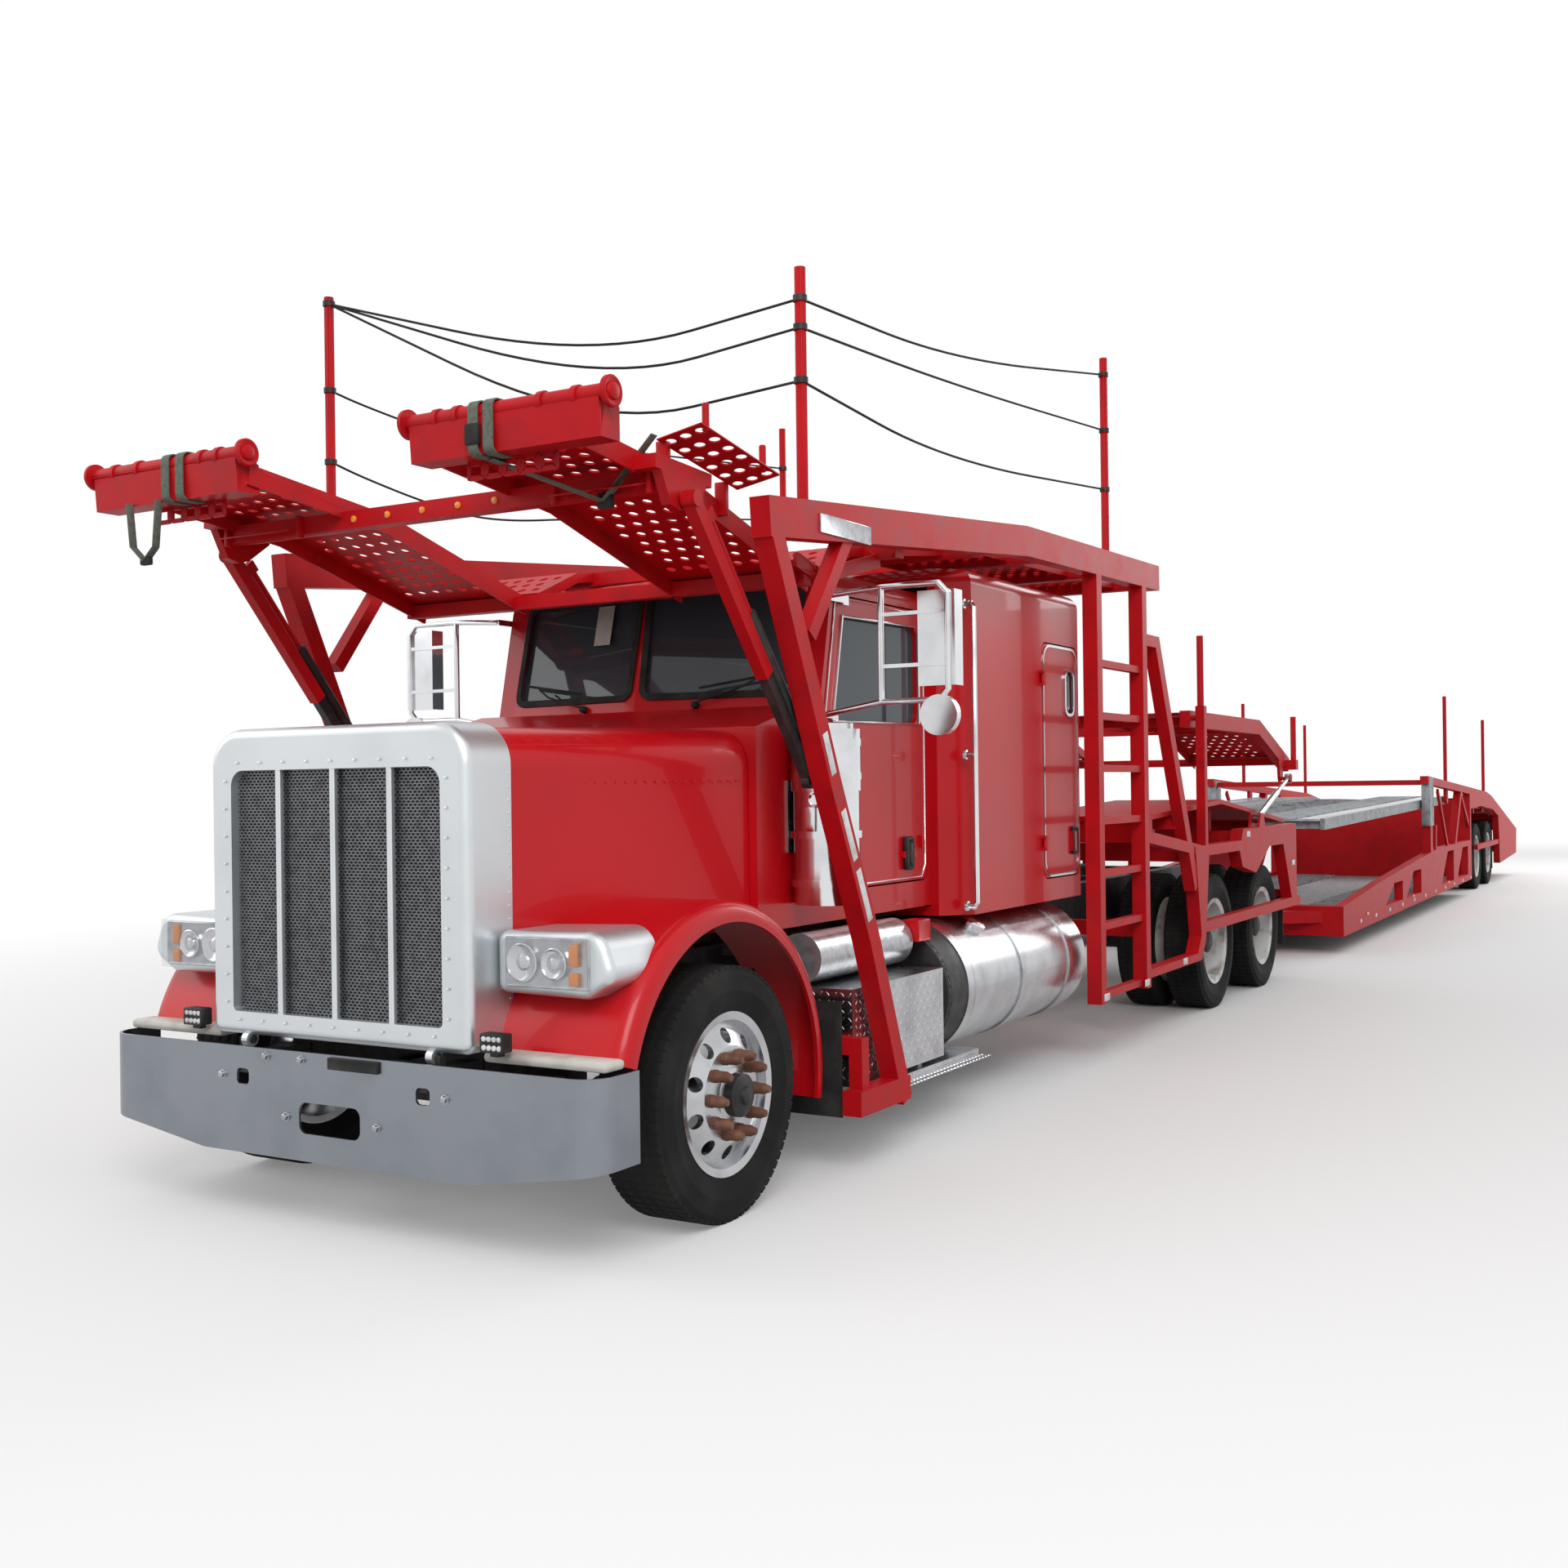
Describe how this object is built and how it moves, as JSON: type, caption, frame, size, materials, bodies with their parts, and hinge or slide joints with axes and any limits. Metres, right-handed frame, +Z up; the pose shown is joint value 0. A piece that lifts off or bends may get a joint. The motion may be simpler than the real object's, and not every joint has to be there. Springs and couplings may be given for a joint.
{
  "type": "car transporter truck",
  "caption": "Long-nosed sleeper tractor with a rack over its cab and a stinger-steered low car trailer; ramps, doors, hood, wheels and hitch move.",
  "frame": {"origin": "middle of the whole vehicle's length and width, on the ground under the tyres", "axes": "+Y along the vehicle towards its tail, +X to the driver's side, +Z up"},
  "size_m": [3.094, 24.7, 4.0199],
  "materials": {
    "red_paint": "gloss red paint",
    "black_steel": "satin black paint",
    "cast_grey": "painted casting",
    "polished_aluminium": "brushed and polished",
    "chrome_trim": "bright chrome",
    "dark_glass": "tinted safety glass",
    "grey_trim": "moulded trim",
    "black_rubber": "matt rubber",
    "dark_mesh": "dark woven mesh",
    "lamp_body": "chromed lamp housing",
    "bright_steel": "ground rod",
    "galvanised": "galvanised sheet",
    "tyre_black": "moulded tyre"
  },
  "bodies": {
    "tractor": {"tractor_frame": "black_steel", "engine_block": "cast_grey", "front_bumper": "polished_aluminium", "axles": "black_steel", "cab_shell": "red_paint", "sleeper_shell": "red_paint", "cab_glass": "dark_glass", "cab_interior": "grey_trim", "air_cleaners": "chrome_trim", "fuel_tanks": "polished_aluminium", "step_boxes": "polished_aluminium", "tanks_and_exhaust": "black_steel", "rack_posts": "red_paint", "overcab_deck": "red_paint", "rack_ladders": "red_paint", "body_sides": "red_paint", "rear_body": "red_paint", "mudflaps": "black_rubber"},
    "hood": {"hood": "red_paint", "fenders": "red_paint", "grille_crown": "chrome_trim", "grille_mesh": "dark_mesh", "headlamps": "lamp_body"},
    "door_left": {"door_left": "red_paint", "door_glass_left": "dark_glass", "mirrors_left": "chrome_trim"},
    "door_right": {"door_right": "red_paint", "door_glass_right": "dark_glass", "mirrors_right": "chrome_trim"},
    "bunk_door_left": {"bunk_door_left": "red_paint"},
    "bunk_door_right": {"bunk_door_right": "red_paint"},
    "knuckle_left": {"steering_knuckle_left": "black_steel"},
    "knuckle_right": {"steering_knuckle_right": "black_steel"},
    "steer_wheel_left": {"steer_tyre_left": "tyre_black", "steer_rim_left": "polished_aluminium"},
    "steer_wheel_right": {"steer_tyre_right": "tyre_black", "steer_rim_right": "polished_aluminium"},
    "head_ramp": {"head_ramp": "red_paint"},
    "lift_lower": {"lift_lower": "black_steel"},
    "lift_upper": {"lift_upper": "red_paint"},
    "hump_deck": {"hump_deck": "red_paint"},
    "deck_lift_lower": {"deck_lift_lower": "black_steel"},
    "deck_lift_upper": {"deck_lift_upper": "bright_steel"},
    "trailer": {"trailer_sides": "red_paint", "trailer_frame": "red_paint", "trailer_floor": "galvanised", "trailer_axles": "black_steel"},
    "mid_deck": {"trailer_mid_deck": "galvanised"},
    "tail_ramps": {"tail_ramps": "red_paint"},
    "drive_wheel_front_left": {"drive_wheel_front_left": "tyre_black"},
    "drive_wheel_front_right": {"drive_wheel_front_right": "tyre_black"},
    "drive_wheel_rear_left": {"drive_wheel_rear_left": "tyre_black"},
    "drive_wheel_rear_right": {"drive_wheel_rear_right": "tyre_black"},
    "trailer_wheel_front_left": {"trailer_wheel_front_left": "tyre_black"},
    "trailer_wheel_front_right": {"trailer_wheel_front_right": "tyre_black"},
    "trailer_wheel_rear_left": {"trailer_wheel_rear_left": "tyre_black"},
    "trailer_wheel_rear_right": {"trailer_wheel_rear_right": "tyre_black"}
  },
  "joints": [
    {"name": "hood_tilt", "type": "hinge", "parent": "tractor", "child": "hood", "pos_m": [0, -12.288, 0.664], "axis": [1, 0, 0], "range_deg": [0, 40]},
    {"name": "door_left_swing", "type": "hinge", "parent": "tractor", "child": "door_left", "pos_m": [0.914, -10.332, 1.2], "axis": [0, 0, -1], "range_deg": [0, 45]},
    {"name": "door_right_swing", "type": "hinge", "parent": "tractor", "child": "door_right", "pos_m": [-0.914, -10.332, 1.2], "axis": [0, 0, 1], "range_deg": [0, 45]},
    {"name": "bunk_left_swing", "type": "hinge", "parent": "tractor", "child": "bunk_door_left", "pos_m": [1.084, -8.172, 1.2], "axis": [0, 0, -1], "range_deg": [0, 15]},
    {"name": "bunk_right_swing", "type": "hinge", "parent": "tractor", "child": "bunk_door_right", "pos_m": [-1.084, -8.172, 1.2], "axis": [0, 0, 1], "range_deg": [0, 15]},
    {"name": "steer_left", "type": "hinge", "parent": "tractor", "child": "knuckle_left", "pos_m": [0.8, -11.506, 0.463], "axis": [0, 0, 1], "range_deg": [-30, 30]},
    {"name": "steer_right", "type": "hinge", "parent": "tractor", "child": "knuckle_right", "pos_m": [-0.8, -11.506, 0.463], "axis": [0, 0, 1], "range_deg": [-30, 30]},
    {"name": "steer_wheel_left_spin", "type": "hinge", "parent": "knuckle_left", "child": "steer_wheel_left", "pos_m": [1.03, -11.506, 0.463], "axis": [1, 0, 0], "continuous": true},
    {"name": "steer_wheel_right_spin", "type": "hinge", "parent": "knuckle_right", "child": "steer_wheel_right", "pos_m": [-1.03, -11.506, 0.463], "axis": [1, 0, 0], "continuous": true},
    {"name": "drive_wheel_front_left_spin", "type": "hinge", "parent": "tractor", "child": "drive_wheel_front_left", "pos_m": [0.92, -5.256, 0.463], "axis": [1, 0, 0], "continuous": true},
    {"name": "drive_wheel_front_right_spin", "type": "hinge", "parent": "tractor", "child": "drive_wheel_front_right", "pos_m": [-0.92, -5.256, 0.463], "axis": [1, 0, 0], "continuous": true},
    {"name": "drive_wheel_rear_left_spin", "type": "hinge", "parent": "tractor", "child": "drive_wheel_rear_left", "pos_m": [0.92, -3.935, 0.463], "axis": [1, 0, 0], "continuous": true},
    {"name": "drive_wheel_rear_right_spin", "type": "hinge", "parent": "tractor", "child": "drive_wheel_rear_right", "pos_m": [-0.92, -3.935, 0.463], "axis": [1, 0, 0], "continuous": true},
    {"name": "trailer_wheel_front_left_spin", "type": "hinge", "parent": "trailer", "child": "trailer_wheel_front_left", "pos_m": [0.92, 8.26, 0.463], "axis": [1, 0, 0], "continuous": true},
    {"name": "trailer_wheel_front_right_spin", "type": "hinge", "parent": "trailer", "child": "trailer_wheel_front_right", "pos_m": [-0.92, 8.26, 0.463], "axis": [1, 0, 0], "continuous": true},
    {"name": "trailer_wheel_rear_left_spin", "type": "hinge", "parent": "trailer", "child": "trailer_wheel_rear_left", "pos_m": [0.92, 9.505, 0.463], "axis": [1, 0, 0], "continuous": true},
    {"name": "trailer_wheel_rear_right_spin", "type": "hinge", "parent": "trailer", "child": "trailer_wheel_rear_right", "pos_m": [-0.92, 9.505, 0.463], "axis": [1, 0, 0], "continuous": true},
    {"name": "head_ramp_tilt", "type": "hinge", "parent": "tractor", "child": "head_ramp", "pos_m": [0, -10.66, 2.44], "axis": [-1, 0, 0], "range_deg": [-6, 12]},
    {"name": "lift_swing", "type": "hinge", "parent": "tractor", "child": "lift_lower", "pos_m": [1.175, -10.93, 1.6], "axis": [-1, 0, 0], "range_deg": [-4, 8]},
    {"name": "lift_stroke", "type": "slide", "parent": "lift_lower", "child": "lift_upper", "axis": [0, -0.6352, 0.7724], "range_m": [-0.08, 0.155]},
    {"name": "hump_deck_tilt", "type": "hinge", "parent": "tractor", "child": "hump_deck", "pos_m": [0, -5.74, 2], "axis": [1, 0, 0], "range_deg": [-3, 5]},
    {"name": "deck_lift_swing", "type": "hinge", "parent": "tractor", "child": "deck_lift_lower", "pos_m": [1.252, -4.3, 1.29], "axis": [1, 0, 0], "range_deg": [-7, 11]},
    {"name": "deck_lift_stroke", "type": "slide", "parent": "deck_lift_lower", "child": "deck_lift_upper", "axis": [0, 0.9586, 0.2847], "range_m": [-0.06, 0.105]},
    {"name": "trailer_yaw", "type": "hinge", "parent": "tractor", "child": "trailer", "pos_m": [0, -2.6, 0.52], "axis": [0, 0, 1], "range_deg": [-45, 45]},
    {"name": "mid_deck_tilt", "type": "hinge", "parent": "trailer", "child": "mid_deck", "pos_m": [0, 5.25, 1.3], "axis": [-1, 0, 0], "range_deg": [-3, 4]},
    {"name": "tail_ramps_fold", "type": "hinge", "parent": "trailer", "child": "tail_ramps", "pos_m": [0, 11.01, 0.93], "axis": [1, 0, 0], "range_deg": [-3, 35]}
  ],
  "couplings": [
    {"joint": "steer_right", "follows": "steer_left", "ratio": 1},
    {"joint": "lift_swing", "follows": "head_ramp_tilt", "ratio": 0.62},
    {"joint": "lift_stroke", "follows": "head_ramp_tilt", "m_per_rad": 0.725},
    {"joint": "deck_lift_swing", "follows": "hump_deck_tilt", "ratio": 2.05},
    {"joint": "deck_lift_stroke", "follows": "hump_deck_tilt", "m_per_rad": 1.12}
  ]
}
